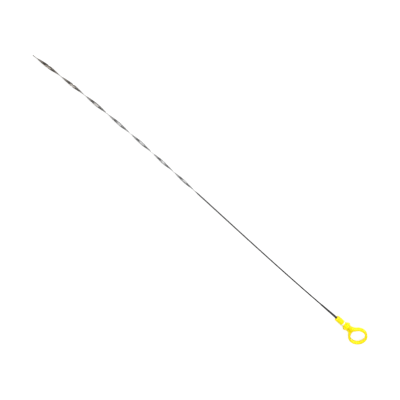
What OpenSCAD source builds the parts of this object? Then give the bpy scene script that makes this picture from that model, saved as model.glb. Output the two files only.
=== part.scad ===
// Engine oil dipstick: a finger-ring handle with a tube plug, and a long wire whose
// lower half is rolled flat and twisted. Millimetres, +X along the plug towards the
// finger ring, the wire along -X. The origin is on the plug's axis, at the face of the
// flange that seats on the dipstick tube. The part lies on a surface: on the flange's
// rim, the ring's edge and the edges of the twisted blade.

/* [Wire and blade] */
// Length of the wire and blade that show, from the nose of the plug to the tip
exposed_length = 620; // [420:10:800]
// Diameter of the round wire
wire_d = 2.0; // [1.6:0.1:2.4]
// Width of the flat blade beside its tip
blade_tip_w = 4.6; // [3:0.1:6]
// Width of the flat blade where the round wire begins
blade_root_w = 3.7; // [3:0.1:5]
// Thickness of the flat blade
blade_t = 0.75; // [0.5:0.05:1.2]
// Length in which the blade turns over once, which is half a turn
blade_pitch = 43.5; // [35:0.5:50]
// Number of half turns in the blade
half_turns = 7; // [3:1:8]
// Direction in which the blade's width points at its first edge-on place, about X
blade_start_angle = 79; // [0:1:180]
// Length of blade in front of the first edge-on place
tip_overhang = 4.5; // [2:0.5:15]
// Length in which the tip narrows
tip_taper = 4; // [2:0.5:8]
// Width of the blunt end of the tip
tip_end_w = 1.6; // [1:0.1:2.5]
// Length in which the flat blade becomes the round wire
blend_length = 9; // [6:1:20]
// Distance from the tip to the low level mark, a pair of notches in the blade's edges
low_mark = 26; // [15:0.5:35]
// Distance from the low level mark to the full one
mark_gap = 43.5; // [15:0.5:60]
// Length of a level mark's notches
mark_length = 2.0; // [1:0.1:2.2]
// Depth of a level mark's notches
mark_depth = 0.6; // [0.2:0.1:0.8]

/* [Lie of the wire] */
// Sideways bow of the wire between the sleeve and the tip
bow = 6.4; // [0:0.1:15]
// Length behind the sleeve in which the wire sinks to the surface it lies on
sink_length = 270; // [120:10:280]

/* [Root sleeve] */
// Length of the tapered sleeve that shows in front of the plug
sleeve_length = 34; // [20:1:50]
// Diameter of the sleeve's thin front end
sleeve_front_d = 2.5; // [2.5:0.1:2.8]
// Diameter of the sleeve where it enters the plug
sleeve_back_d = 3.5; // [3.2:0.1:4.4]
// Length of the sleeve inside the plug
sleeve_inset = 3; // [2:0.5:6]

/* [Tube plug] */
// Diameter of the plug's collars, which slide into the dipstick tube
plug_d = 9.0; // [8:0.1:10]
// Length of the plug in front of the flange
plug_length = 21.6; // [17:0.1:30]
// Length of the chamfer round the plug's nose
nose_chamfer = 1.8; // [1:0.1:2.4]
// Diameter of the blunt end of the nose
nose_d = 6.6; // [6:0.1:7]
// Distance from the flange's seat to the near wall of the seal's groove
groove_offset = 5.7; // [3:0.1:8]
// Depth of the seal's groove
groove_depth = 1.6; // [1:0.1:1.8]
// Thickness of the seal ring's round section
seal_section_d = 2.1; // [1.6:0.1:2.6]
// Play of the seal ring along its groove
seal_play = 0.2; // [0.1:0.05:0.6]
// Depth of the blind hole that holds the wire, from the plug's nose
wire_hole_depth = 25; // [18:0.5:27]

/* [Flange and neck] */
// Diameter of the flange that stops the plug
flange_d = 14; // [12:0.5:18]
// Thickness of the flange
flange_t = 2.8; // [2:0.1:4]
// Radius of the rounding round the flange's rim
flange_edge_r = 1.1; // [0.4:0.1:1.3]
// Width of the neck across the flat of the ring
neck_w = 9.0; // [8:0.1:11]
// Distance from the flange's seat to the outside of the ring's band
neck_length = 12.4; // [12:0.1:18]
// Radius of the hollow curves that lead from the neck into the ring
neck_sweep_r = 12; // [9:0.5:13]

/* [Finger ring] */
// Outer diameter of the finger ring
ring_d = 30; // [28:0.5:36]
// Thickness of the ring's band, measured outwards
ring_wall = 3.8; // [3:0.1:5]
// Width of the ring's band, along the finger
ring_band_w = 6.5; // [5:0.1:8]
// Radius of the rounding on the band's edges
band_edge_r = 1.2; // [0.4:0.1:1.4]
// Thickness of the web between the neck's two rails
web_t = 2.4; // [1.6:0.1:3.2]
// Radius of the recess at its narrow end
recess_nose_r = 0.9; // [0.5:0.1:1.5]
// Distance from the flange's seat to the narrow end of the recess
recess_offset = 5.8; // [4:0.1:8]
// Width of the recess where it opens into the ring
recess_w = 7.6; // [5:0.1:9]

/* [Hidden] */
$fn = 96;
steel = "#8c8c8e";
black = "#1c1c1e";
pale = "#eceadf";
yellow = "#ffe81a";

plug_r = plug_d / 2;
flange_r = flange_d / 2;
ring_r = ring_d / 2;
band_mid_r = ring_r - ring_wall / 2;
ring_offset = neck_length + ring_r;
groove_r = plug_r - groove_depth;
groove_w = seal_section_d + seal_play;
nose_x = -plug_length;
tip_x = nose_x - exposed_length;
blade_length = tip_overhang + half_turns * blade_pitch;
level_marks = [low_mark, low_mark + mark_gap];
// Roll of the ring about the plug's axis that lets its edge touch the surface under the
// flange, found from the centre line of the band's rounded edge
edge_out = ring_r - band_edge_r;
edge_side = ring_band_w / 2 - band_edge_r;
ring_roll = asin((flange_r - band_edge_r) / norm([edge_out, edge_side])) - atan2(edge_side, edge_out);
// The blade's edge sinks to the level of the flange's rim
sink = flange_r - blade_tip_w / 2;
// The wire is free to bow from the front of the sleeve to the tip
free_length = exposed_length - sleeve_length;
// The bow follows t^bow_power (1 - t), which is greatest at bow_peak_t
bow_power = 2.4;
bow_peak_t = bow_power / (bow_power + 1);
bow_peak = pow(bow_peak_t, bow_power) * (1 - bow_peak_t);
// Facets of the swept wire
section_sides = 16;
rings_per_pitch = 16;
tip_rings = 4;
blend_rings = 6;
wire_rings = 26;
// Small overshoot that lets a cut pass cleanly through a face
cut = 1;

function smooth(t) = let (c = max(0, min(1, t))) c * c * (3 - 2 * c);
function mix(a, b, t) = a + (b - a) * t;

// Place along the free wire, 0 at the front of the sleeve and 1 at the tip, of a section
// that lies at distance d from the tip
function free_t(d) = max(0, (free_length - d) / free_length);
function path_y(d) = bow * pow(free_t(d), bow_power) * (1 - free_t(d)) / bow_peak;
function path_z(d) = -sink * smooth((free_length - d) / sink_length);

// Width and thickness of the section at distance d from the tip
function flat_w(d) = mix(blade_tip_w, blade_root_w, d / blade_length);
function round_share(d) = smooth((d - blade_length) / blend_length);
function tip_share(d) = d < tip_taper ? sqrt(1 - pow(1 - d / tip_taper, 2)) : 1;
// How deep the notch of a level mark at distance m cuts in at distance d
function notch(d, m) = mark_depth * sqrt(max(0, 1 - pow((d - m) / (mark_length / 2), 2)));
function notches(d) = notch(d, level_marks[0]) + notch(d, level_marks[1]);
function section_w(d) =
    mix(mix(tip_end_w, flat_w(d), tip_share(d)), wire_d, round_share(d)) - 2 * notches(d);
function section_t(d) = mix(blade_t, wire_d, round_share(d));
function twist(d) = blade_start_angle + 180 * (min(d, blade_length) - tip_overhang) / blade_pitch;

// One section: two half circles with flat sides between them, turned about X
function section(d) =
    let (
        end_r = section_t(d) / 2,
        flat = section_w(d) / 2 - end_r,
        turn = twist(d)
    )
    [for (i = [0 : section_sides - 1])
        let (
            a = (i + 0.5) * 360 / section_sides,
            u = sign(cos(a)) * flat + end_r * cos(a),
            v = end_r * sin(a)
        )
        [
            tip_x + d,
            path_y(d) + u * cos(turn) - v * sin(turn),
            path_z(d) + u * sin(turn) + v * cos(turn)
        ]
    ];

// Distances from the tip at which the wire has a section. At a level mark, five close
// sections take the place of one.
blade_steps = ceil((blade_length - tip_taper) / blade_pitch * rings_per_pitch);
blade_step = (blade_length - tip_taper) / blade_steps;
blend_end = blade_length + blend_length;
function mark_near(d) = [for (m = level_marks) if (abs(d - m) <= blade_step / 2) m];
function blade_stations(d) =
    let (near = mark_near(d))
    len(near) == 0 ? [d] : [for (k = [-2 : 2]) near[0] + k * mark_length / 4];
wire_stations = [
    for (i = [0 : tip_rings - 1]) tip_taper * pow(i / tip_rings, 2),
    for (i = [0 : blade_steps]) each blade_stations(tip_taper + i * blade_step),
    for (i = [1 : blend_rings]) blade_length + blend_length * i / blend_rings,
    for (i = [1 : wire_rings]) mix(blend_end, free_length, i / wire_rings),
    exposed_length,
    exposed_length + wire_hole_depth
];

module rod_and_blade() {
    n = section_sides;
    last = len(wire_stations) - 1;
    points = [for (d = wire_stations) each section(d)];
    sides = [
        for (s = [0 : last - 1])
            for (i = [0 : n - 1])
                let (j = (i + 1) % n)
                each [
                    [s * n + i, (s + 1) * n + i, (s + 1) * n + j],
                    [s * n + i, (s + 1) * n + j, s * n + j]
                ]
    ];
    tip_cap = [[for (i = [0 : n - 1]) i]];
    root_cap = [[for (i = [n - 1 : -1 : 0]) last * n + i]];
    color(steel)
        polyhedron(points, concat(sides, tip_cap, root_cap), convexity = 10);
}

// A solid of revolution about the plug's axis, from a profile with x as its height
module turned() {
    rotate([0, 90, 0])
        rotate_extrude()
            rotate(90)
                mirror([0, 1])
                    children();
}

module root_sleeve() {
    color(black)
        difference() {
            union() {
                translate([nose_x - sleeve_length, 0, 0])
                    rotate([0, 90, 0])
                        cylinder(h = sleeve_length, d1 = sleeve_front_d, d2 = sleeve_back_d);
                translate([nose_x, 0, 0])
                    rotate([0, 90, 0])
                        cylinder(h = sleeve_inset, d = sleeve_back_d);
            }
            translate([nose_x - sleeve_length - cut, 0, 0])
                rotate([0, 90, 0])
                    cylinder(h = sleeve_length + sleeve_inset + 2 * cut, d = wire_d);
        }
}

module seal_ring() {
    color(pale)
        translate([-groove_offset - groove_w / 2, 0, 0])
            rotate([0, 90, 0])
                rotate_extrude()
                    translate([groove_r + seal_section_d / 2, 0])
                        circle(d = seal_section_d, $fn = 32);
}

// Rectangle with true round corners, from x = 0 and centred on y
module rounded_bar(w, h, r) {
    translate([r, -h / 2])
        square([w - 2 * r, h]);
    translate([0, -h / 2 + r])
        square([w, h - 2 * r]);
    for (x = [r, w - r])
        for (y = [r - h / 2, h / 2 - r])
            translate([x, y])
                circle(r = r, $fn = 48);
}

// Outline of the plug's turned body, half of it: x along the axis, y outwards
module plug_profile() {
    nose_end_r = nose_d / 2;
    polygon([
        [nose_x, 0],
        [nose_x, nose_end_r],
        [nose_x + nose_chamfer, plug_r],
        [-groove_offset - groove_w, plug_r],
        [-groove_offset - groove_w, groove_r],
        [-groove_offset, groove_r],
        [-groove_offset, plug_r],
        [flange_edge_r, plug_r],
        [flange_edge_r, 0]
    ]);
}

// The flange's disc, with its rim rounded on both sides
module flange_profile() {
    square([flange_t, flange_r - flange_edge_r]);
    translate([flange_edge_r, 0])
        square([flange_t - 2 * flange_edge_r, flange_r]);
    for (x = [flange_edge_r, flange_t - flange_edge_r])
        translate([x, flange_r - flange_edge_r])
            circle(r = flange_edge_r, $fn = 48);
}

// Centre of the hollow curve that touches the neck's side and the ring's rim
sweep_y = neck_w / 2 + neck_sweep_r;
sweep_x = ring_offset - sqrt(pow(ring_r + neck_sweep_r, 2) - pow(sweep_y, 2));
// Share of the way from the ring's centre to the curve's centre where they touch
touch = ring_r / (ring_r + neck_sweep_r);
touch_x = mix(ring_offset, sweep_x, touch);
touch_y = sweep_y * touch;

// Slab between neck and ring, before its sides are hollowed
module shoulder_slab() {
    translate([0, 0, -ring_band_w / 2])
        linear_extrude(ring_band_w)
            polygon([
                [sweep_x, -neck_w / 2],
                [touch_x, -touch_y],
                [ring_offset, 0],
                [touch_x, touch_y],
                [sweep_x, neck_w / 2]
            ]);
}

// Disc with a rim that flares like the outside of the band's rounded edge, which cuts the
// hollow curve and rounds its edges in one go
module hollow_cutter() {
    rotate_extrude()
        difference() {
            translate([0, -ring_band_w / 2 - cut])
                square([neck_sweep_r + band_edge_r, ring_band_w + 2 * cut]);
            translate([neck_sweep_r, 0])
                rounded_bar(4 * band_edge_r, ring_band_w, band_edge_r);
        }
}

module shoulder() {
    difference() {
        shoulder_slab();
        translate([ring_offset, 0, -ring_band_w])
            cylinder(h = 2 * ring_band_w, r = band_mid_r);
        for (side = [-1, 1])
            translate([sweep_x, side * sweep_y, 0])
                hollow_cutter();
    }
}

// Straight bar of the neck, with the same rounded edges as the ring's band
module neck() {
    translate([flange_t - flange_edge_r, -neck_w / 2, 0])
        rotate([90, 0, 90])
            linear_extrude(sweep_x - flange_t + flange_edge_r)
                rounded_bar(neck_w, ring_band_w, band_edge_r);
}

module finger_ring() {
    translate([ring_offset, 0, 0])
        rotate_extrude()
            translate([ring_r - ring_wall, 0])
                rounded_bar(ring_wall, ring_band_w, band_edge_r);
}

// Outline of the recess: a round nose that widens to recess_w where the ring opens
module recess_outline() {
    mouth_half = recess_w / 2;
    nose_at = recess_offset + recess_nose_r;
    opening_r = ring_r - ring_wall;
    mouth_x = ring_offset - sqrt(pow(opening_r, 2) - pow(mouth_half, 2));
    run = mouth_x - nose_at;
    slope = atan2(mouth_half, run) + asin(-recess_nose_r / norm([run, mouth_half]));
    side_x = nose_at - recess_nose_r * sin(slope);
    side_y = recess_nose_r * cos(slope);
    past = 2;
    translate([nose_at, 0])
        circle(r = recess_nose_r, $fn = 48);
    polygon([
        [side_x, side_y],
        [mouth_x, mouth_half],
        [mouth_x + past, mouth_half],
        [mouth_x + past, -mouth_half],
        [mouth_x, -mouth_half],
        [side_x, -side_y]
    ]);
}

module pull_loop() {
    difference() {
        union() {
            neck();
            shoulder();
            finger_ring();
        }
        for (side = [0, 1])
            mirror([0, 0, side])
                translate([0, 0, web_t / 2])
                    linear_extrude(ring_band_w)
                        recess_outline();
    }
}

module pull_handle() {
    color(yellow)
        difference() {
            union() {
                turned() {
                    plug_profile();
                    flange_profile();
                }
                rotate([ring_roll, 0, 0])
                    pull_loop();
            }
            translate([nose_x - cut, 0, 0])
                rotate([0, 90, 0])
                    cylinder(h = wire_hole_depth + cut, d = wire_d);
            translate([nose_x - cut, 0, 0])
                rotate([0, 90, 0])
                    cylinder(h = sleeve_inset + cut, d = sleeve_back_d);
        }
}

rod_and_blade();
root_sleeve();
seal_ring();
pull_handle();
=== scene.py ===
"""An engine oil dipstick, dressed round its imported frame.

The classes follow the real pieces: the bladed rod, the sleeve round its root, the seal
ring and the moulded pull handle. Lengths are in metres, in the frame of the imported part:
the plug's axis is X, the finger ring lies towards +X and the blade's tip towards -X.
"""
import logging
import math
from dataclasses import dataclass
from enum import Enum
from typing import Callable, Iterable

import bmesh
import bpy
from mathutils import Matrix, Vector

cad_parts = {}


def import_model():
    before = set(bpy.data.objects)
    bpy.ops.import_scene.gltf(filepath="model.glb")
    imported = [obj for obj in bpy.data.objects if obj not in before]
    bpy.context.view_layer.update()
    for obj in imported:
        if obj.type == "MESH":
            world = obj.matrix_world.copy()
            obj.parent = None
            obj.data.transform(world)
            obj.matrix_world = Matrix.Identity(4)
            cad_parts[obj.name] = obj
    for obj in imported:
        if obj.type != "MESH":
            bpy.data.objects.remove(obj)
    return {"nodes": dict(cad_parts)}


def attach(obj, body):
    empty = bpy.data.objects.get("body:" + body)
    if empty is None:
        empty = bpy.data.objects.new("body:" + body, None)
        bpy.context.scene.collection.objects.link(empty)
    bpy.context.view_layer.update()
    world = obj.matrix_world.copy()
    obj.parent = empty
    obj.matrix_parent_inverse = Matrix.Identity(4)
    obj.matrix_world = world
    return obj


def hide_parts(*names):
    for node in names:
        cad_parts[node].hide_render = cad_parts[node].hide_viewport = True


log = logging.getLogger("dipstick")

ROOT = "root"
MM = 0.001
# Places nearer to each other than this count as one.
CLOSE = 0.02 * MM
# A face with more of its normal along an axis than this faces along it.
FACING = 0.9
TURNED_SIDES = 96
HOLE_SIDES = 48
BEVEL_STEPS = 6
# Places of the blade's tip and of the plug's nose on the plug's axis.
TIP_X = -641.6 * MM
NOSE_X = -21.6 * MM
Colour = tuple[float, float, float]
Point = tuple[float, float, float]
Turned = list[tuple[float, float]]
Thing = bpy.types.Object
Socket = bpy.types.NodeSocket
Sockets = dict[str, Socket]


class Slot(Enum):
    """Names of the pieces' material slots."""

    STEEL = "steel_wire"
    SLEEVE = "black_sleeve"
    SEAL = "pale_seal"
    MOULDING = "yellow_moulding"


class Part(Enum):
    """Kinds of mesh element that a selection may hold."""

    VERTICES = "VERT"
    EDGES = "EDGE"
    FACES = "FACE"


class Combining(Enum):
    """What happens with the second of two solids."""

    JOIN = "UNION"
    CUT = "DIFFERENCE"


# ---- Modelling bench


class Bench:
    """Operator work on one mesh at a time, with nothing else selected."""

    @staticmethod
    def clear() -> None:
        """Leave edit mode and deselect every object."""
        if bpy.context.object is not None and bpy.context.object.mode != "OBJECT":
            bpy.ops.object.mode_set(mode="OBJECT")
        bpy.ops.object.select_all(action="DESELECT")

    @staticmethod
    def take(piece: Thing) -> None:
        """Make one object the active and only selected one.

        Args:
            piece: The object to work on.
        """
        Bench.clear()
        piece.select_set(True)
        bpy.context.view_layer.objects.active = piece

    @staticmethod
    def primitive(name: str, add: Callable[..., set], **settings: object) -> Thing:
        """Add a primitive, name it and put its place in its mesh.

        Args:
            name: The new object's name, which its mesh gets too.
            add: The operator that adds it.
            settings: The operator's values.

        Returns:
            The new object, active and selected.
        """
        Bench.clear()
        add(**settings)
        piece = bpy.context.object
        piece.name = piece.data.name = name
        Bench.take(piece)
        bpy.ops.object.transform_apply(location=True, rotation=True, scale=True)
        return piece

    @staticmethod
    def disc(name: str, x: float, radius: float, sides: int) -> Thing:
        """A flat disc with this radius and these sides, across the plug's axis at x."""
        return Bench.primitive(name, bpy.ops.mesh.primitive_circle_add, vertices=sides, radius=radius,
                               fill_type="NGON", location=(x, 0, 0), rotation=(0, math.pi / 2, 0))

    @staticmethod
    def choose(piece: Thing, part: Part, test: Callable[..., bool] | None = None) -> None:
        """Open a mesh in edit mode and select the elements that pass a test.

        Args:
            piece: The object to edit.
            part: The kind of element to select.
            test: Says whether an element belongs to the selection. Without it, all do.
        """
        if piece.mode != "EDIT":
            Bench.take(piece)
            bpy.ops.object.mode_set(mode="EDIT")
        bpy.ops.mesh.select_mode(type=part.value)
        bpy.ops.mesh.select_all(action="SELECT" if test is None else "DESELECT")
        if test is None:
            return
        shape = bmesh.from_edit_mesh(piece.data)
        elements = {Part.VERTICES: shape.verts, Part.EDGES: shape.edges, Part.FACES: shape.faces}[part]
        for element in elements:
            if test(element):
                element.select_set(True)
        shape.select_flush_mode()
        bmesh.update_edit_mesh(piece.data)

    @staticmethod
    def close(piece: Thing) -> None:
        """Face all of a mesh outwards and leave edit mode.

        Args:
            piece: The object in edit mode.
        """
        Bench.choose(piece, Part.VERTICES)
        bpy.ops.mesh.normals_make_consistent(inside=False)
        bpy.ops.object.mode_set(mode="OBJECT")

    @staticmethod
    def open_through(piece: Thing, caps: Iterable[tuple[Callable[..., bool], float]]) -> None:
        """Inset and open a solid's end caps, and bridge the openings by a bore.

        Args:
            piece: The solid, which stays in edit mode.
            caps: What finds each cap, with the wall that stays round its opening.
        """
        for test, wall in caps:
            Bench.choose(piece, Part.FACES, test)
            bpy.ops.mesh.inset(thickness=wall, depth=0)
            bpy.ops.mesh.delete(type="FACE")
        Bench.choose(piece, Part.EDGES, lambda e: e.is_boundary)
        bpy.ops.mesh.bridge_edge_loops()

    @staticmethod
    def draw_out(start: float, end: float, wider: float, taller: float) -> None:
        """Extrude what is selected from start to end along X, and resize its Y and Z about the axis."""
        bpy.ops.mesh.extrude_region_move(TRANSFORM_OT_translate={"value": (end - start, 0, 0)})
        bpy.ops.transform.resize(value=(1, wider, taller), center_override=(end, 0, 0))

    @staticmethod
    def modify(piece: Thing, kind: str, **settings: object) -> None:
        """Add a modifier and apply it.

        Args:
            piece: The object to change.
            kind: Blender's name for the modifier.
            settings: The modifier's values.
        """
        Bench.take(piece)
        modifier = piece.modifiers.new(kind.lower(), kind)
        for name, value in settings.items():
            setattr(modifier, name, value)
        bpy.ops.object.modifier_apply(modifier=modifier.name)

    @staticmethod
    def combine(piece: Thing, other: Thing, how: Combining) -> None:
        """Join another solid to a piece or cut it away, and delete the other one."""
        Bench.modify(piece, "BOOLEAN", operation=how.value, object=other, solver="EXACT")
        bpy.data.objects.remove(other)

    @staticmethod
    def turn(piece: Thing, angle: float) -> None:
        """Turn a piece about the plug's axis and put the turn in its mesh.

        Args:
            piece: The object to turn.
            angle: The angle about X, in radians.
        """
        Bench.take(piece)
        piece.rotation_euler = (angle, 0.0, 0.0)
        bpy.ops.object.transform_apply(location=False, rotation=True, scale=False)

    @staticmethod
    def settle(piece: Thing, smooth_angle: float) -> None:
        """Merge a piece's doubles, face it outwards and smooth it.

        Args:
            piece: The finished object.
            smooth_angle: Edges sharper than this angle stay crisp, in degrees.
        """
        Bench.choose(piece, Part.VERTICES)
        bpy.ops.mesh.remove_doubles(threshold=0.001 * MM)
        Bench.close(piece)
        bpy.ops.object.shade_smooth_by_angle(angle=math.radians(smooth_angle))


def lathe(name: str, profile: Turned, sides: int) -> Thing:
    """A closed turned body on the plug's axis, drawn out from a disc.

    Args:
        name: The body's name.
        profile: Places along X with the radius at each, from one end to the other.
        sides: Facets round the body.

    Returns:
        The new object.
    """
    (start_x, start_r), *rest = profile
    body = Bench.disc(name, start_x, start_r, sides)
    Bench.choose(body, Part.FACES)
    x, r = start_x, start_r
    for next_x, next_r in rest:
        Bench.draw_out(x, next_x, next_r / r, next_r / r)
        x, r = next_x, next_r
    Bench.close(body)
    return body


def arc(x: float, r: float, radius: float, first: float, last: float) -> Turned:
    """Points of a rounding in a turned profile.

    Args:
        x: Centre of the rounding along the axis.
        r: Centre of the rounding from the axis.
        radius: Its radius.
        first: Start angle in degrees, where 0 points along +X and 90 outwards.
        last: End angle in degrees.

    Returns:
        The places along X with their radii.
    """
    angles = [math.radians(first + (last - first) * i / BEVEL_STEPS) for i in range(BEVEL_STEPS + 1)]
    return [(x + radius * math.cos(a), r + radius * math.sin(a)) for a in angles]


# ---- Shader groups


@dataclass
class NodeDesk:
    """Adds and links the nodes of one tree.

    Attributes:
        tree: The material's or group's node tree.
    """

    tree: bpy.types.NodeTree

    def add(self, kind: str, values: dict | None = None, **settings: object) -> bpy.types.Node:
        """Add a node.

        Args:
            kind: The node's type.
            values: Input sockets, by name or number, with a value or a socket to link.
            settings: The node's own settings.

        Returns:
            The new node.
        """
        node = self.tree.nodes.new(kind)
        for name, value in settings.items():
            setattr(node, name, value)
        for key, value in (values or {}).items():
            if isinstance(value, Socket):
                self.tree.links.new(value, node.inputs[key])
            else:
                node.inputs[key].default_value = value
        return node

    def math(self, operation: str, *terms: object, clamp: bool = False) -> Socket:
        """Combine values or sockets by a Math node, whose result may be kept between 0 and 1."""
        return self.add("ShaderNodeMath", dict(enumerate(terms)), operation=operation,
                        use_clamp=clamp).outputs[0]

    def total(self, base: float, *terms: tuple[object, float]) -> Socket:
        """Add shares of some masks to a value and keep the sum between 0 and 1.

        Args:
            base: The value without the masks.
            terms: Each mask's socket with its share.

        Returns:
            The sum's socket.
        """
        value = base
        for mask, share in terms:
            value = self.math("MULTIPLY_ADD", mask, share, value, clamp=True)
        return value

    def ramp(self, value: object, low: float, high: float, start: float = 0.0, end: float = 1.0) -> Socket:
        """Map a value from low..high to start..end, easing in and out, and keep it there."""
        return self.add("ShaderNodeMapRange", {0: value, 1: low, 2: high, 3: start, 4: end},
                        interpolation_type="SMOOTHSTEP", clamp=True).outputs[0]

    def blend(self, share: object, first: object, second: object) -> Socket:
        """Mix two colours.

        Args:
            share: Share of the second colour, a number or a socket.
            first: A colour or a socket.
            second: A colour or a socket.

        Returns:
            The mixed colour's socket.
        """
        colours = {key: value if isinstance(value, Socket) else (*value, 1.0)
                   for key, value in ((6, first), (7, second))}
        return self.add("ShaderNodeMix", {"Factor": share, **colours}, data_type="RGBA").outputs[2]

    def noise(self, place: object, scale: object, detail: float = 3.0, roughness: float = 0.5) -> Socket:
        """Noise at a place, with detail octaves that are finer and as strong as roughness says."""
        return self.add("ShaderNodeTexNoise", {"Vector": place, "Scale": scale, "Detail": detail,
                                               "Roughness": roughness}).outputs[0]

    def stretched(self, place: object, scale: Point, turn: Point = (0, 0, 0)) -> Socket:
        """Coordinates scaled along each axis and turned about it in radians, for a pattern."""
        return self.add("ShaderNodeMapping", {"Vector": place, "Scale": scale,
                                              "Rotation": turn}).outputs[0]


@dataclass(frozen=True)
class SharedGroup:
    """One shader group with named sockets, which several finishes use.

    Attributes:
        name: Its name.
        inputs: Its number inputs' names.
        outputs: Its outputs' names.
        fill: Adds its nodes and says which socket feeds each output.
    """

    name: str
    inputs: tuple[str, ...]
    outputs: tuple[str, ...]
    fill: Callable[[NodeDesk, object], Sockets]

    def build(self) -> bpy.types.NodeTree:
        """The group's tree, made the first time that it is asked for.

        Returns:
            The node tree.
        """
        found = bpy.data.node_groups.get(self.name)
        if found is not None:
            return found
        tree = bpy.data.node_groups.new(self.name, "ShaderNodeTree")
        tree.interface.new_socket("Place", in_out="INPUT", socket_type="NodeSocketVector")
        for way, labels in (("INPUT", self.inputs), ("OUTPUT", self.outputs)):
            for label in labels:
                tree.interface.new_socket(label, in_out=way, socket_type="NodeSocketFloat")
        desk = NodeDesk(tree)
        entry, result = desk.add("NodeGroupInput").outputs, desk.add("NodeGroupOutput")
        for label, socket in self.fill(desk, entry).items():
            tree.links.new(socket, result.inputs[label])
        return tree

    def place(self, desk: NodeDesk, place: object, **values: object) -> Sockets:
        """Use the group in a material, with its inputs by name, and give its outputs by name."""
        node = desk.add("ShaderNodeGroup", {"Place": place, **values}, node_tree=self.build())
        return {label: node.outputs[label] for label in self.outputs}


def fill_grain(desk: NodeDesk, entry: object) -> Sockets:
    """Fine moulded or cast grain with slower patches.

    Args:
        desk: The group's desk.
        entry: The group's inputs.

    Returns:
        Height for a bump and a patch mask.
    """
    fine = desk.noise(entry["Place"], entry["Scale"], 4.0, 0.55)
    slow = desk.noise(entry["Place"], desk.math("MULTIPLY", entry["Scale"], 0.09), 2.0)
    return {"Height": desk.math("MULTIPLY", fine, entry["Depth"]),
            "Patch": desk.ramp(slow, 0.38, 0.66)}


def fill_streaks(desk: NodeDesk, entry: object) -> Sockets:
    """Lines that drawing and rolling leave along the wire.

    Args:
        desk: The group's desk.
        entry: The group's inputs.

    Returns:
        Height for a bump, a line mask and broad bands along the wire.
    """
    along = desk.stretched(entry["Place"], (0.03, 1.0, 1.0))
    lines = desk.noise(along, entry["Scale"], 3.0, 0.6)
    bands = desk.noise(desk.stretched(entry["Place"], (1.0, 0.2, 0.2)), 60.0, 3.0, 0.6)
    return {"Height": desk.math("MULTIPLY", lines, entry["Depth"]),
            "Lines": desk.ramp(lines, 0.42, 0.68),
            "Bands": desk.ramp(bands, 0.35, 0.7)}


def fill_scuffs(desk: NodeDesk, entry: object) -> Sockets:
    """Short scratches in a few directions and rubbed edges.

    Args:
        desk: The group's desk.
        entry: The group's inputs.

    Returns:
        Masks for scratches and rubbed edges.
    """
    turns = ((0.3, 0.5, 0.2), (1.4, 0.2, 1.1), (0.7, 1.3, 2.2))
    masks = []
    for number, turn in enumerate(turns):
        place = desk.stretched(entry["Place"], (0.05, 1.0, 1.0), turn)
        cell = desk.noise(place, desk.math("MULTIPLY", entry["Scale"], 1.0 + 0.3 * number), 1.0)
        masks.append(desk.ramp(cell, 0.70, 0.76))
    both = desk.math("MAXIMUM", masks[0], desk.math("MAXIMUM", masks[1], masks[2]))
    edge = desk.add("ShaderNodeNewGeometry").outputs["Pointiness"]
    rubbed = desk.math("MULTIPLY", desk.ramp(edge, 0.52, 0.60),
                       desk.ramp(desk.noise(entry["Place"], 900.0, 3.0), 0.40, 0.62))
    return {"Scratches": desk.math("MULTIPLY", both, entry["Amount"]),
            "Edges": desk.math("MULTIPLY", rubbed, entry["Amount"])}


def fill_dust_and_shade(desk: NodeDesk, entry: object) -> Sockets:
    """Dust in hollows, and painted shade in recesses where a finish gives them a shade colour.

    Args:
        desk: The group's desk.
        entry: The group's inputs.

    Returns:
        A mask for hollows.
    """
    edge = desk.add("ShaderNodeNewGeometry").outputs["Pointiness"]
    hollow = desk.ramp(edge, 0.49, 0.42)
    cloud = desk.ramp(desk.noise(entry["Place"], 420.0, 5.0, 0.6), 0.35, 0.65)
    return {"Hollows": desk.math("MULTIPLY", desk.math("MULTIPLY", hollow, cloud), entry["Amount"])}


GRAIN = SharedGroup("fine_grain", ("Scale", "Depth"), ("Height", "Patch"), fill_grain)
STREAKS = SharedGroup("drawn_streaks", ("Scale", "Depth"), ("Height", "Lines", "Bands"), fill_streaks)
SCUFFS = SharedGroup("handling_scuffs", ("Scale", "Amount"), ("Scratches", "Edges"), fill_scuffs)
# Hollow mask: dirt on the sleeve and seal, painted shade in the yellow moulding's recesses.
DUST_AND_SHADE = SharedGroup("settled_dust_and_shade", ("Amount",), ("Hollows",), fill_dust_and_shade)


# ---- Finishes


@dataclass(frozen=True)
class Finish:
    """What every finish has.

    Attributes:
        name: The material's name.
        colour: The main colour, linear.
        roughness: The gloss of the clean surface.
    """

    name: str
    colour: Colour
    roughness: float

    def start(self) -> tuple[bpy.types.Material, NodeDesk, bpy.types.Node, Socket]:
        """A new material with its shader and Object coordinates.

        Returns:
            The material, its desk, the Principled shader and the coordinates' socket.
        """
        material = bpy.data.materials.new(self.name)
        material.use_nodes = True
        material.node_tree.nodes.clear()
        desk = NodeDesk(material.node_tree)
        shader = desk.add("ShaderNodeBsdfPrincipled")
        output = desk.add("ShaderNodeOutputMaterial")
        desk.tree.links.new(shader.outputs[0], output.inputs[0])
        place = desk.add("ShaderNodeTexCoord").outputs["Object"]
        return material, desk, shader, place

    def feed(self, desk: NodeDesk, shader: bpy.types.Node, colour: Socket,
             rough: Socket, height: Socket, distance: float) -> None:
        """Link colour, roughness and bump to the shader.

        Args:
            desk: The material's desk.
            shader: The Principled shader.
            colour: The colour's socket.
            rough: The roughness's socket.
            height: The bump's height.
            distance: Depth of the bump in metres.
        """
        bump = desk.add("ShaderNodeBump", {"Height": height, "Distance": distance, "Strength": 1.0})
        for label, socket in (("Base Color", colour), ("Roughness", rough), ("Normal", bump.outputs[0])):
            desk.tree.links.new(socket, shader.inputs[label])

    def make(self) -> bpy.types.Material:
        """Make the material. Each kind of finish has its own way."""
        raise NotImplementedError


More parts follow.
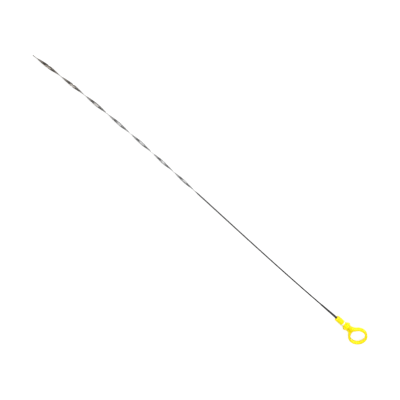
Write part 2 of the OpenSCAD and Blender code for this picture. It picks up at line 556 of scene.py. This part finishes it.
@dataclass(frozen=True)
class SteelFinish(Finish):
    """Drawn spring wire, rolled flat, with an oil film that darkens the blade's tip.

    Attributes:
        oiled: Colour where old oil has stained it.
        dark: Colour of the drawing lines' scale.
        tip_x: Place of the tip.
        stain_x: Place where the stain has faded out.
        drawn: Colour of the round wire, which keeps its scale.
        root: Colour of that wire at the handle.
        drawn_x: Places where the rolled blade ends, the round wire begins and the sleeve begins.
        rubbed: Colour of bright rubbed edges.
        bright: How strongly clean edges are rubbed, and how much of that a stain takes.
        line_depth: Depth of the drawing lines in metres.
    """

    oiled: Colour
    dark: Colour
    tip_x: float
    stain_x: float
    drawn: Colour
    root: Colour
    drawn_x: tuple[float, float, float]
    rubbed: Colour = (0.86, 0.85, 0.84)
    bright: tuple[float, float] = (4.0, 3.4)
    line_depth: float = 0.012 * MM

    def make(self) -> bpy.types.Material:
        """Steel with drawing lines and rubbed edges, stained at the tip and dark where it is drawn.

        Returns:
            The material.
        """
        material, desk, shader, place = self.start()
        shader.inputs["Metallic"].default_value = 1.0
        streak = STREAKS.place(desk, place, Scale=5200.0, Depth=0.6)
        scuff = SCUFFS.place(desk, place, Scale=1700.0, Amount=0.7)
        grain = GRAIN.place(desk, place, Scale=9000.0, Depth=0.4)
        x = desk.add("ShaderNodeSeparateXYZ", {0: place}).outputs[0]
        stain = desk.math("MULTIPLY", desk.ramp(x, self.stain_x, self.tip_x),
                          desk.ramp(grain["Patch"], 0.0, 1.0, 0.75, 1.0))
        rolled_x, wire_x, root_x = self.drawn_x
        scale = desk.ramp(x, rolled_x, wire_x)
        wire = desk.blend(desk.ramp(x, wire_x, root_x), self.drawn, self.root)
        colour = desk.blend(stain, self.colour, self.oiled)
        colour = desk.blend(desk.math("MULTIPLY", streak["Lines"], 0.45), colour, self.dark)
        clean = desk.math("SUBTRACT", self.bright[0], desk.math("MULTIPLY", stain, self.bright[1]))
        rubbed = desk.math("MULTIPLY", scuff["Edges"], clean, clamp=True)
        colour = desk.blend(scale, desk.blend(rubbed, colour, self.rubbed), wire)
        rough = desk.total(self.roughness, (streak["Bands"], 0.07), (scuff["Scratches"], 0.1), (stain, -0.14))
        height = desk.math("ADD", streak["Height"], grain["Height"])
        self.feed(desk, shader, colour, rough, height, self.line_depth)
        return material


@dataclass(frozen=True)
class PlasticFinish(Finish):
    """Moulded plastic with grain, flow patches, scuffs and the line where its mould parts.

    Attributes:
        patch: Colour of the slow flow patches.
        worn: Colour of rubbed edges and scratches.
        hollow_dust_and_shade: Colour that settles in hollows.
        grain_scale: Scale of the fine grain.
        grain_depth: Depth of the grain in metres.
        gloss: Level of the reflection that doesn't depend on the colour.
        glow: Share of the light that spreads below the surface.
        glow_reach: How far red, green and blue spread there, as shares of the depth.
        glow_depth: Depth that it reaches.
        parting_turn: Turn of the mould's parting plane about X, or None.
        parting: Half widths of the line's foot and top, and its height in grains.
    """

    patch: Colour
    worn: Colour
    hollow_dust_and_shade: Colour
    grain_scale: float
    grain_depth: float
    gloss: float = 0.5
    glow: float = 0.0
    glow_reach: Colour = (1.0, 0.6, 0.1)
    glow_depth: float = 1.5 * MM
    parting_turn: float | None = None
    parting: tuple[float, float, float] = (0.14 * MM, 0.05 * MM, 2.5)

    def make(self) -> bpy.types.Material:
        """Plastic with flow patches, wear and a hollow colour over its main colour; on the yellow moulding
        the hollow colour is painted shade.

        Returns:
            The material.
        """
        material, desk, shader, place = self.start()
        grain = GRAIN.place(desk, place, Scale=self.grain_scale, Depth=0.6)
        scuff = SCUFFS.place(desk, place, Scale=1100.0, Amount=0.6)
        dust_and_shade = DUST_AND_SHADE.place(desk, place, Amount=0.5)
        colour = self.colour
        # The hollow colour darkens recesses: dirt on the sleeve and seal, painted shade on the yellow
        # moulding.
        for mask, share, tint in ((grain["Patch"], 0.6, self.patch), (scuff["Edges"], 0.3, self.worn),
                                  (scuff["Scratches"], 0.25, self.worn), (dust_and_shade["Hollows"], 0.5, self.hollow_dust_and_shade)):
            colour = desk.blend(desk.math("MULTIPLY", mask, share), colour, tint)
        rough = desk.total(self.roughness, (scuff["Scratches"], 0.25), (dust_and_shade["Hollows"], 0.3),
                           (grain["Patch"], 0.05))
        for label, value in (("Specular IOR Level", self.gloss), ("Subsurface Weight", self.glow),
                             ("Subsurface Radius", self.glow_reach), ("Subsurface Scale", self.glow_depth)):
            shader.inputs[label].default_value = value
        height = grain["Height"]
        if self.parting_turn is not None:
            turned = desk.stretched(place, (1, 1, 1), (-self.parting_turn, 0, 0))
            aside = desk.math("ABSOLUTE", desk.add("ShaderNodeSeparateXYZ", {0: turned}).outputs[2])
            foot, top, rise = self.parting
            height = desk.math("ADD", height, desk.ramp(aside, foot, top, 0.0, rise))
        self.feed(desk, shader, colour, rough, height, self.grain_depth)
        return material


YELLOW = PlasticFinish(
    "yellow_gloss_moulding", colour=(0.97, 0.785, 0.002), roughness=0.27,
    # The yellow's hollow colour is painted shade: the shaded orange of its recesses.
    patch=(0.96, 0.75, 0.002), worn=(1.0, 0.88, 0.06), hollow_dust_and_shade=(0.72, 0.46, 0.006),
    grain_scale=5200.0, grain_depth=0.02 * MM, gloss=0.2, glow=0.35, parting_turn=math.radians(16.1))
BLACK = PlasticFinish(
    "black_shrunk_sleeve", colour=(0.016, 0.016, 0.017), roughness=0.45,
    patch=(0.024, 0.023, 0.023), worn=(0.09, 0.088, 0.085), hollow_dust_and_shade=(0.05, 0.046, 0.04),
    grain_scale=6200.0, grain_depth=0.03 * MM)
PALE = PlasticFinish(
    "pale_seal_rubber", colour=(0.86, 0.84, 0.76), roughness=0.42,
    patch=(0.80, 0.77, 0.66), worn=(0.92, 0.91, 0.86), hollow_dust_and_shade=(0.35, 0.32, 0.24),
    grain_scale=7000.0, grain_depth=0.015 * MM)
STEEL = SteelFinish(
    "drawn_spring_steel", colour=(0.35, 0.35, 0.353), roughness=0.31,
    oiled=(0.165, 0.137, 0.108), dark=(0.10, 0.097, 0.093), tip_x=TIP_X, stain_x=-0.44,
    drawn=(0.075, 0.075, 0.076), root=(0.037, 0.037, 0.0376), drawn_x=(-0.34, -0.318, -0.056))


# ---- Pieces


@dataclass
class Piece:
    """What every piece of the dipstick has.

    Attributes:
        name: The piece's name in the scene.
        node: The CAD node that it stands for.
        slot: The piece's material slot; not used.
        crisp: Edges sharper than this angle stay crisp, in degrees.
    """

    name: str
    node: str
    slot: Slot
    crisp: float = 40.0

    def shape(self) -> Thing:
        """Model the piece. Each kind of piece has its own way."""
        raise NotImplementedError

    def build(self, finish: Finish) -> Thing:
        """Model and dress the piece, attach it to the root body and hide its CAD node.

        Args:
            finish: The finish to put on it.

        Returns:
            The finished object.
        """
        piece = self.shape()
        piece.name = piece.data.name = self.name
        piece.data.materials.clear()
        piece.data.materials.append(finish.make())
        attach(piece, ROOT)
        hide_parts(self.node)
        log.info("%s: %d faces, %.1f x %.1f x %.1f mm", self.name, len(piece.data.polygons),
                 *(piece.dimensions / MM))
        return piece


@dataclass
class BladedRod(Piece):
    """The spring wire with its lower half rolled flat and twisted, in one length.

    Attributes:
        tip_x: Place of the tip.
        nose_x: Place of the plug's nose.
        rooted: Length of wire inside the plug.
        sleeve_length: Length of wire under the sleeve in front of the plug.
        wire_r: Radius of the round wire.
        tip_w: Width of the blade at its tip.
        root_w: Width of the blade where the wire begins.
        thick: Thickness of the blade.
        pitch: Length of one half turn.
        half_turns: Number of half turns.
        overhang: Length in front of the first edge-on place.
        start_angle: Direction of the width at that place, in degrees about X.
        taper: Length in which the tip narrows.
        tip_end_w: Width of the blunt tip.
        blend: Length in which the flat becomes round.
        marks: Distances of the level marks from the tip.
        mark_length: Length of a mark's notches.
        mark_depth: Depth of a mark's notches.
        bow: Sideways bow of the free wire.
        bow_power: Shape of the bow, which leans to the tip.
        sink: How far the wire sinks below the plug's axis.
        sink_length: Length in which it sinks.
        sides: Points round the strip's two edges together.
        flat_cuts: Points along each of its flats.
        step: Length between two sections of the blade.
        tip_steps: Sections in the tip's narrowing.
        notch_steps: Steps along one notch, an even number.
        blend_cuts: Sections in the blend.
        wire_steps: Lengths that the round wire is made of.
    """

    tip_x: float = TIP_X
    nose_x: float = NOSE_X
    rooted: float = 25 * MM
    sleeve_length: float = 34 * MM
    wire_r: float = 1.0 * MM
    tip_w: float = 4.6 * MM
    root_w: float = 3.7 * MM
    thick: float = 0.75 * MM
    pitch: float = 43.5 * MM
    half_turns: int = 7
    overhang: float = 4.5 * MM
    start_angle: float = 79.0
    taper: float = 4.0 * MM
    tip_end_w: float = 1.6 * MM
    blend: float = 9.0 * MM
    marks: tuple[float, ...] = (26 * MM, 69.5 * MM)
    mark_length: float = 2.0 * MM
    mark_depth: float = 0.6 * MM
    bow: float = 6.4 * MM
    bow_power: float = 2.4
    sink: float = 4.7 * MM
    sink_length: float = 270 * MM
    sides: int = 16
    flat_cuts: int = 8
    step: float = 1.5 * MM
    tip_steps: int = 7
    notch_steps: int = 8
    blend_cuts: int = 8
    wire_steps: int = 60

    @property
    def blade_length(self) -> float:
        """Length of the flat blade."""
        return self.overhang + self.half_turns * self.pitch

    @property
    def free_length(self) -> float:
        """Length from the tip to the sleeve's front."""
        return self.nose_x - self.tip_x - self.sleeve_length

    def width(self, d: float) -> float:
        """Width of the blade at a distance from its tip.

        Args:
            d: The distance.

        Returns:
            The width, less the notches of the level marks.
        """
        flat = self.tip_w + (self.root_w - self.tip_w) * d / self.blade_length
        if d < self.taper:
            flat = self.tip_end_w + (flat - self.tip_end_w) * math.sqrt(1 - (1 - d / self.taper) ** 2)
        for mark in self.marks:
            off = (d - mark) / (self.mark_length / 2)
            flat -= 2 * self.mark_depth * math.sqrt(max(0.0, 1 - off * off))
        return flat

    def stations(self) -> list[float]:
        """Distances from the tip at which the blade has a section.

        Returns:
            The distances in order.
        """
        tip = [self.taper * (i / self.tip_steps) ** 2 for i in range(self.tip_steps)]
        count = round((self.blade_length - self.taper) / self.step)
        body = [self.taper + (self.blade_length - self.taper) * i / count for i in range(count + 1)]
        near = self.mark_length / 2 + self.step / 3
        body = [d for d in body if all(abs(d - mark) > near for mark in self.marks)]
        half = self.notch_steps // 2
        notches = [mark + k * self.mark_length / self.notch_steps
                   for mark in self.marks for k in range(-half, half + 1)]
        return sorted(tip + body + notches)

    def rolled_blade(self) -> Thing:
        """The flat blade before it is twisted: a disc pulled into a strip's section and extruded.

        Returns:
            The blade.
        """
        blade = Bench.disc("rolled_blade", self.tip_x, self.thick / 2, self.sides)
        Bench.turn(blade, math.pi / self.sides)
        first, *rest = self.stations()
        flat = (self.width(first) - self.thick) / 2
        for side in (1, -1):
            Bench.choose(blade, Part.VERTICES, lambda v: side * v.co.y > CLOSE)
            bpy.ops.transform.translate(value=(0, side * flat, 0))
        Bench.choose(blade, Part.FACES)
        bpy.ops.mesh.delete(type="ONLY_FACE")
        Bench.choose(blade, Part.EDGES, lambda e: e.verts[0].co.y * e.verts[1].co.y < 0)
        bpy.ops.mesh.subdivide(number_cuts=self.flat_cuts)
        Bench.choose(blade, Part.EDGES)
        bpy.ops.mesh.edge_face_add()
        Bench.choose(blade, Part.FACES)
        at = first
        for d in rest:
            Bench.draw_out(self.tip_x + at, self.tip_x + d, self.width(d) / self.width(at), 1)
            at = d
        Bench.close(blade)
        return blade

    def round_wire(self) -> Thing:
        """The round wire, from the end of the blade into the plug.

        Returns:
            The wire.
        """
        start = self.tip_x + self.blade_length + self.blend
        end = self.nose_x + self.rooted
        count = self.wire_steps
        profile = [(start + (end - start) * i / count, self.wire_r) for i in range(count + 1)]
        return lathe("round_wire", profile, self.sides + 2 * self.flat_cuts)

    def bridge(self, rod: Thing) -> None:
        """Open the two facing ends of blade and wire and bridge them.

        Args:
            rod: The mesh that holds both.
        """
        ends = (self.tip_x + self.blade_length, self.tip_x + self.blade_length + self.blend)

        def faces_gap(face: bmesh.types.BMFace) -> bool:
            """Whether a face is one of the two ends at the gap."""
            x = face.calc_center_median().x
            return abs(face.normal.x) > FACING and any(abs(x - end) < CLOSE for end in ends)

        Bench.choose(rod, Part.FACES, faces_gap)
        bpy.ops.mesh.delete(type="FACE")
        Bench.choose(rod, Part.EDGES, lambda e: e.is_boundary)
        bpy.ops.mesh.bridge_edge_loops(number_cuts=self.blend_cuts, interpolation="LINEAR")
        Bench.close(rod)

    def lay(self, rod: Thing) -> None:
        """Twist the blade, then bow the wire and sink it to the surface that it lies on.

        Args:
            rod: The straight rod.
        """
        total = self.nose_x + self.rooted - self.tip_x
        rate = math.pi / self.pitch
        Bench.modify(rod, "SIMPLE_DEFORM", deform_method="TWIST", deform_axis="X",
                     angle=rate * self.blade_length, limits=(0.0, self.blade_length / total))
        Bench.turn(rod, math.radians(self.start_angle) - rate * (self.tip_x + self.overhang))
        peak_at = self.bow_power / (self.bow_power + 1)
        peak = peak_at ** self.bow_power * (1 - peak_at)
        bowed = rod.vertex_groups.new(name="bowed")
        sunk = rod.vertex_groups.new(name="sunk")
        for vertex in rod.data.vertices:
            left = self.free_length - (vertex.co.x - self.tip_x)
            t = max(0.0, left / self.free_length)
            s = max(0.0, min(1.0, left / self.sink_length))
            bowed.add([vertex.index], t ** self.bow_power * (1 - t) / peak, "REPLACE")
            sunk.add([vertex.index], s * s * (3 - 2 * s), "REPLACE")
        for group, axis, amount in (("bowed", "Y", self.bow), ("sunk", "Z", -self.sink)):
            Bench.modify(rod, "DISPLACE", vertex_group=group, direction=axis, strength=amount, mid_level=0.0)
        rod.vertex_groups.clear()

    def shape(self) -> Thing:
        """Model the rod: blade and wire are joined, bridged, twisted and laid.

        Returns:
            The rod.
        """
        rod, wire = self.rolled_blade(), self.round_wire()
        Bench.take(rod)
        wire.select_set(True)
        bpy.ops.object.join()
        self.bridge(rod)
        self.lay(rod)
        Bench.settle(rod, self.crisp)
        return rod


@dataclass
class RootSleeve(Piece):
    """The black tapered sleeve round the wire's root.

    Attributes:
        front_x: Place of its thin front end.
        nose_x: Place where it enters the plug.
        inset: Length inside the plug.
        front_r: Radius of the front end.
        back_r: Radius where it enters the plug.
        bore_r: Radius of the wire inside.
        lip: Rounding of the front edge.
        steps: Lengths that the taper is made of.
    """

    front_x: float = -55.6 * MM
    nose_x: float = NOSE_X
    inset: float = 3.0 * MM
    front_r: float = 1.25 * MM
    back_r: float = 1.75 * MM
    bore_r: float = 1.01 * MM
    lip: float = 0.1 * MM
    steps: int = 24

    def shape(self) -> Thing:
        """Model the sleeve: a turned taper, its ends opened and bridged by the bore.

        Returns:
            The sleeve.
        """
        length = self.nose_x - self.front_x
        profile = [(self.front_x, self.front_r - self.lip), (self.front_x + self.lip, self.front_r)]
        for i in range(1, self.steps + 1):
            t = i / self.steps
            profile.append((self.front_x + length * t, self.front_r + (self.back_r - self.front_r) * t))
        profile.append((self.nose_x + self.inset, self.back_r))
        sleeve = lathe("sleeve", profile, HOLE_SIDES)

        def cap_at(x: float) -> Callable[..., bool]:
            """What finds the cap at a place along the axis."""
            return lambda f: len(f.verts) > 4 and abs(f.calc_center_median().x - x) < CLOSE

        Bench.open_through(sleeve, [(cap_at(x), r - self.bore_r) for x, r in (profile[0], profile[-1])])
        Bench.settle(sleeve, self.crisp)
        return sleeve


@dataclass
class SealRing(Piece):
    """The pale seal in the plug's groove, with the thin flash line of its mould.

    Attributes:
        x: Place of its middle.
        bore_r: Radius of the groove's floor.
        section_r: Radius of its round section.
        flash: How far the flash line stands out.
        seat: Growth of the strip that is pressed flat on the groove's floor.
        section_sides: Facets round its section.
    """

    x: float = -6.85 * MM
    bore_r: float = 2.9 * MM
    section_r: float = 1.05 * MM
    flash: float = 0.04 * MM
    seat: float = 2.2
    section_sides: int = 32

    def shape(self) -> Thing:
        """Model the seal: a ring with its outermost loop pulled out and its innermost one spread.

        Returns:
            The seal.
        """
        middle_r = self.bore_r + self.section_r
        seal = Bench.primitive("seal", bpy.ops.mesh.primitive_torus_add, major_radius=middle_r,
                               minor_radius=self.section_r, major_segments=TURNED_SIDES,
                               minor_segments=self.section_sides, location=(self.x, 0, 0),
                               rotation=(0, math.pi / 2, 0))
        outer_r = middle_r + self.section_r
        growth = (outer_r + self.flash) / outer_r
        for nearest, furthest, scale in ((outer_r - CLOSE, math.inf, (1, growth, growth)),
                                         (0.0, self.bore_r + 2 * CLOSE, (self.seat, 1, 1))):
            Bench.choose(seal, Part.VERTICES, lambda v: nearest < math.hypot(v.co.y, v.co.z) < furthest)
            bpy.ops.transform.resize(value=scale, center_override=(self.x, 0, 0))
        Bench.settle(seal, self.crisp)
        return seal


@dataclass
class PullHandle(Piece):
    """The yellow moulding: plug, flange, neck with its recessed web, and finger ring.

    Attributes:
        nose_x: Place of the plug's nose.
        plug_r: Radius of the plug's collars.
        nose_r: Radius of the nose's blunt end.
        chamfer: Length of the nose's chamfer.
        groove: Places of the seal groove's two walls.
        groove_r: Radius of the groove's floor.
        flange_r: Radius of the flange.
        flange_t: Thickness of the flange.
        flange_edge_r: Rounding of the flange's rim.
        neck_w: Width of the neck.
        band_w: Width of the ring's band and of the neck, along the finger.
        edge_r: Rounding of their edges.
        sweep_r: Radius of the hollow curves from neck to ring.
        sweep_steps: Lengths that those curves are made of.
        ring_x: Place of the ring's centre.
        ring_r: Outer radius of the ring.
        ring_wall: Thickness of the ring's band.
        ring_sides: Facets round the ring.
        web_t: Thickness of the web in the recess.
        recess_x: Place of the recess's narrow end.
        recess_r: Radius of that end.
        recess_w: Width of the recess where it opens.
        soft: Softening of the plug's own edges.
        socket: Depths and radii of the hole for the wire and of that for the sleeve.
        voxel: Size of the cells that fuse the moulding.
        smoothing: How often the fused moulding is smoothed, and by what share.
    """

    nose_x: float = NOSE_X
    plug_r: float = 4.5 * MM
    nose_r: float = 3.3 * MM
    chamfer: float = 1.8 * MM
    groove: tuple[float, float] = (-8.0 * MM, -5.7 * MM)
    groove_r: float = 2.9 * MM
    flange_r: float = 7.0 * MM
    flange_t: float = 2.8 * MM
    flange_edge_r: float = 1.1 * MM
    neck_w: float = 9.0 * MM
    band_w: float = 6.5 * MM
    edge_r: float = 1.2 * MM
    sweep_r: float = 12.0 * MM
    sweep_steps: int = 12
    ring_x: float = 27.4 * MM
    ring_r: float = 14.98 * MM
    ring_wall: float = 3.8 * MM
    ring_sides: int = 160
    web_t: float = 2.4 * MM
    recess_x: float = 5.8 * MM
    recess_r: float = 0.9 * MM
    recess_w: float = 7.6 * MM
    soft: float = 0.25 * MM
    socket: tuple[tuple[float, float], ...] = ((25.2 * MM, 1.1 * MM), (3.1 * MM, 1.85 * MM))
    voxel: float = 0.26 * MM
    smoothing: tuple[int, float] = (5, 0.5)

    @property
    def roll(self) -> float:
        """Roll about the plug's axis that lets the ring's edge touch the floor, in radians."""
        out, side = self.ring_r - self.edge_r, self.band_w / 2 - self.edge_r
        return math.asin((self.flange_r - self.edge_r) / math.hypot(out, side)) - math.atan2(side, out)

    def plug(self) -> Thing:
        """The turned part: nose, collars, groove, flange and a spigot into the neck.

        Returns:
            The plug.
        """
        far, near = self.groove
        soft, edge_r = self.soft, self.flange_edge_r
        rim_r = self.flange_r - edge_r
        profile = [(self.nose_x, self.nose_r - soft), (self.nose_x + soft / 2, self.nose_r),
                   (self.nose_x + self.chamfer, self.plug_r),
                   (far - soft, self.plug_r), (far, self.plug_r - soft), (far, self.groove_r),
                   (near, self.groove_r), (near, self.plug_r - soft), (near + soft, self.plug_r),
                   (0.0, self.plug_r), (0.0, rim_r)]
        profile += arc(edge_r, rim_r, edge_r, 180, 90)[1:]
        profile += arc(self.flange_t - edge_r, rim_r, edge_r, 90, 0)
        profile += [(self.flange_t, self.plug_r)]
        return lathe("plug", profile, TURNED_SIDES)

    def neck(self) -> Thing:
        """The neck: a block drawn out along the hollow curves, its long edges rounded.

        Returns:
            The neck.
        """
        start = self.flange_t - self.flange_edge_r
        sweep_y = self.neck_w / 2 + self.sweep_r
        sweep_x = self.ring_x - math.sqrt((self.ring_r + self.sweep_r) ** 2 - sweep_y ** 2)
        touch = self.ring_r / (self.ring_r + self.sweep_r)
        touch_x = self.ring_x + (sweep_x - self.ring_x) * touch
        neck = Bench.primitive("neck", bpy.ops.mesh.primitive_cube_add, size=1,
                               location=((start + sweep_x) / 2, 0, 0),
                               scale=(sweep_x - start, self.neck_w, self.band_w))
        Bench.choose(neck, Part.FACES, lambda f: f.normal.x > FACING)
        x, half = sweep_x, self.neck_w / 2
        for i in range(1, self.sweep_steps + 1):
            next_x = sweep_x + (touch_x - sweep_x) * i / self.sweep_steps
            next_half = sweep_y - math.sqrt(self.sweep_r ** 2 - (next_x - sweep_x) ** 2)
            Bench.draw_out(x, next_x, next_half / half, 1)
            x, half = next_x, next_half
        Bench.choose(neck, Part.EDGES, lambda e: len(e.link_faces) == 2
                     and abs(e.verts[0].co.x - e.verts[1].co.x) > CLOSE
                     and abs(e.link_faces[0].normal.z) + abs(e.link_faces[1].normal.z) > FACING)
        bpy.ops.mesh.bevel(offset=self.edge_r, segments=BEVEL_STEPS, affect="EDGES")
        Bench.close(neck)
        return neck

    def ring(self) -> Thing:
        """The finger ring: a disc whose two caps are inset, opened and bridged, then rounded.

        Returns:
            The ring.
        """
        ring = Bench.primitive("finger_ring", bpy.ops.mesh.primitive_cylinder_add, vertices=self.ring_sides,
                               radius=self.ring_r, depth=self.band_w, location=(self.ring_x, 0, 0))
        Bench.open_through(ring, ((lambda f: f.normal.z > FACING, self.ring_wall),
                                  (lambda f: f.normal.z < -FACING, self.ring_wall)))
        Bench.choose(ring, Part.EDGES, lambda e: abs(e.verts[0].co.z - e.verts[1].co.z) < CLOSE
                     and abs(sum(abs(f.normal.z) for f in e.link_faces) - 1) < 0.1)
        bpy.ops.mesh.bevel(offset=self.edge_r, segments=BEVEL_STEPS, affect="EDGES")
        Bench.close(ring)
        return ring

    def recess_cutter(self, side: int) -> Thing:
        """The wedge-shaped hollow beside the web: a peg with its far half drawn out and widened.

        Args:
            side: 1 for the upper hollow, -1 for the lower one.

        Returns:
            The cutter.
        """
        x = self.recess_x + self.recess_r
        opening_r = self.ring_r - self.ring_wall
        mouth_x = self.ring_x - math.sqrt(opening_r ** 2 - (self.recess_w / 2) ** 2)
        cutter = Bench.primitive("recess_cutter", bpy.ops.mesh.primitive_cylinder_add, vertices=HOLE_SIDES,
                                 radius=self.recess_r, depth=self.band_w,
                                 location=(x, 0, side * (self.web_t + self.band_w) / 2))
        Bench.choose(cutter, Part.VERTICES, lambda v: v.co.x > x + CLOSE)
        bpy.ops.transform.translate(value=(mouth_x - x, 0, 0))
        growth = self.recess_w / 2 / self.recess_r
        bpy.ops.transform.resize(value=(1, growth, 1), center_override=(x, 0, 0))
        Bench.close(cutter)
        return cutter

    def shape(self) -> Thing:
        """Model the moulding: its parts are joined, cut and fused with soft inner corners.

        Returns:
            The handle.
        """
        loop = self.neck()
        Bench.combine(loop, self.ring(), Combining.JOIN)
        for side in (1, -1):
            Bench.combine(loop, self.recess_cutter(side), Combining.CUT)
        Bench.turn(loop, self.roll)
        handle = self.plug()
        Bench.combine(handle, loop, Combining.JOIN)
        for depth, radius in self.socket:
            ends = [(self.nose_x - 1 * MM, radius), (self.nose_x + depth, radius)]
            Bench.combine(handle, lathe("socket", ends, HOLE_SIDES), Combining.CUT)
        Bench.modify(handle, "REMESH", mode="VOXEL", voxel_size=self.voxel, adaptivity=0.0)
        times, share = self.smoothing
        Bench.modify(handle, "SMOOTH", factor=share, iterations=times)
        Bench.settle(handle, self.crisp)
        return handle


# ---- Studio and camera


@dataclass
class Lamp:
    """One soft rectangular lamp.

    Attributes:
        name: Its name.
        place: Where it stands.
        aim: The point that it faces.
        power: Its power in watts.
        size: Its width and height.
    """

    name: str
    place: Point
    aim: Point
    power: float
    size: tuple[float, float]

    def build(self) -> Thing:
        """Set the lamp up.

        Returns:
            The lamp.
        """
        data = bpy.data.lights.new(self.name, "AREA")
        data.shape = "RECTANGLE"
        data.size, data.size_y = self.size
        data.energy = self.power
        lamp = bpy.data.objects.new(self.name, data)
        bpy.context.scene.collection.objects.link(lamp)
        lamp.location = self.place
        lamp.rotation_euler = (Vector(self.aim) - Vector(self.place)).to_track_quat("-Z", "Y").to_euler()
        return lamp


@dataclass
class Studio:
    """A plain pale floor, a dim room and soft lamps.

    Attributes:
        floor_z: Level of the floor.
        floor_size: Side of the floor.
        room: Brightness of the room.
        paper: Colour of the floor as it lights the part from below.
        shaded: Colour that takes the shadow where the floor is seen.
        glow: Share of the white there that doesn't depend on the lamps.
        lamps: The lamps.
    """

    floor_z: float = -7.0 * MM
    floor_size: float = 40.0
    room: float = 0.3
    paper: Colour = (0.8, 0.8, 0.8)
    shaded: Colour = (0.28, 0.28, 0.28)
    glow: float = 0.8
    lamps: tuple[Lamp, ...] = (
        Lamp("key_lamp", (-1.6, 1.6, 1.2), (0, 0, 0), 50.0, (1.2, 1.2)),
        Lamp("overhead_lamp", (0.22, 0.37, 2.0), (0.22, 0.37, 0), 20.0, (0.8, 2.8)),
        Lamp("front_lamp", (-0.9, -1.4, 1.3), (0, 0, 0), 13.0, (1.2, 1.2)),
    )

    def build_floor(self) -> Thing:
        """The floor, white to the camera and in reflections, which keeps a faint shadow.

        Returns:
            The floor.
        """
        floor = Bench.primitive("studio_floor", bpy.ops.mesh.primitive_plane_add, size=self.floor_size,
                                location=(0, 0, self.floor_z))
        material = bpy.data.materials.new("white_floor")
        material.use_nodes = True
        material.node_tree.nodes.clear()
        desk = NodeDesk(material.node_tree)
        path = desk.add("ShaderNodeLightPath").outputs
        seen = desk.math("MAXIMUM", path["Is Camera Ray"], path["Is Glossy Ray"])
        paper = desk.add("ShaderNodeBsdfDiffuse", {"Color": (*self.paper, 1)})
        shaded = desk.add("ShaderNodeBsdfDiffuse", {"Color": (*self.shaded, 1)})
        glow = desk.add("ShaderNodeEmission", {"Color": (1, 1, 1, 1), "Strength": self.glow})
        lit = desk.add("ShaderNodeAddShader", {0: shaded.outputs[0], 1: glow.outputs[0]})
        both = desk.add("ShaderNodeMixShader", {0: seen, 1: paper.outputs[0], 2: lit.outputs[0]})
        output = desk.add("ShaderNodeOutputMaterial")
        desk.tree.links.new(both.outputs[0], output.inputs[0])
        floor.data.materials.append(material)
        return floor

    def build(self) -> None:
        """Set up the floor, the room and the lamps."""
        self.build_floor()
        world = bpy.data.worlds.new("studio_room")
        world.use_nodes = True
        background = world.node_tree.nodes["Background"]
        background.inputs[0].default_value = (self.room, self.room, self.room, 1)
        bpy.context.scene.world = world
        for lamp in self.lamps:
            lamp.build()
            log.info("lamp %s: %.0f W", lamp.name, lamp.power)


@dataclass
class PhotoCamera:
    """The camera at the photograph's viewing angle.

    Attributes:
        place: Where it stands.
        right: Direction of the image's right.
        up: Direction of the image's top.
        back: Direction from the scene to the camera.
        lens: Focal length in millimetres.
        sensor: Width of the sensor in millimetres.
        clip: Nearest and furthest distance that it sees.
    """

    place: Point = (-1.0760, 0.3529, 1.8976)
    right: Point = (0.70512, 0.69234, 0.1532)
    up: Point = (-0.60745, 0.70124, -0.37318)
    back: Point = (-0.3658, 0.17008, 0.91502)
    lens: float = 128.4711
    sensor: float = 36.0
    clip: tuple[float, float] = (0.05, 100.0)

    def build(self) -> Thing:
        """Set the camera up and make it the scene's.

        Returns:
            The camera.
        """
        data = bpy.data.cameras.new("photo_camera")
        data.lens = self.lens
        data.sensor_width = self.sensor
        data.clip_start, data.clip_end = self.clip
        camera = bpy.data.objects.new("photo_camera", data)
        bpy.context.scene.collection.objects.link(camera)
        turn = Matrix((self.right, self.up, self.back)).transposed()
        camera.matrix_world = Matrix.Translation(self.place) @ turn.to_4x4()
        bpy.context.scene.camera = camera
        return camera


def main(frame: dict) -> None:
    """Build the pieces, the studio and the camera, in order.
    """
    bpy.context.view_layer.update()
    log.info("frame with nodes %s", sorted(frame["nodes"]))
    BladedRod("bladed_rod", "rod_and_blade", Slot.STEEL).build(STEEL)
    RootSleeve("tapered_sleeve", "root_sleeve", Slot.SLEEVE, crisp=35.0).build(BLACK)
    SealRing("tube_seal", "seal_ring", Slot.SEAL, crisp=50.0).build(PALE)
    PullHandle("ring_handle", "pull_handle", Slot.MOULDING, crisp=80.0).build(YELLOW)
    Studio().build()
    PhotoCamera().build()
    bpy.context.scene.view_settings.view_transform = "Standard"


if __name__ == "__main__":
    logging.basicConfig(level=logging.INFO, format="%(name)s: %(message)s")
    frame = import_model()
    main(frame)
